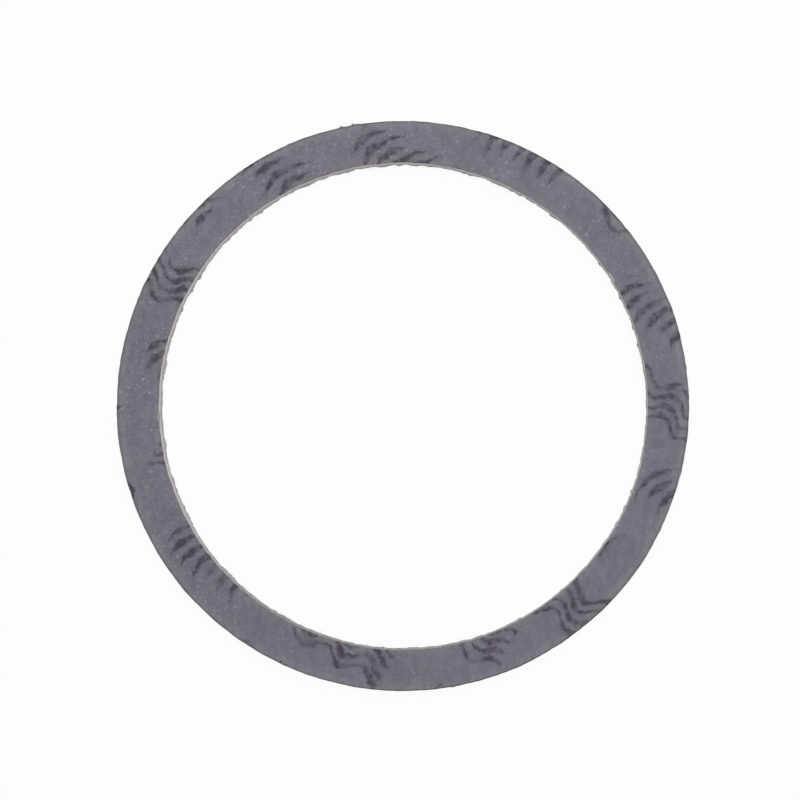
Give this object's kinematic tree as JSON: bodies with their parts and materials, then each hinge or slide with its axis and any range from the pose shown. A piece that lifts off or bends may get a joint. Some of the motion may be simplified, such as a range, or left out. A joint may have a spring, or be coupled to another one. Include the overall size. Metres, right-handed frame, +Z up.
{
  "type": "exhaust gasket",
  "caption": "Flat ring gasket of compressed fibre sheet that seals a round exhaust port joint, with a torn lip at the foot of its punched bore.",
  "frame": {"origin": "middle of the bore on the lower face, the face that the ring lies on", "axes": "+Z up along the bore towards the printed face; X and Y lie in the plane of the ring"},
  "size_m": [0.042, 0.042, 0.0015],
  "materials": {
    "fibre_sheet": "matte"
  },
  "bodies": {
    "root": {"gasket": "fibre_sheet"}
  },
  "joints": []
}
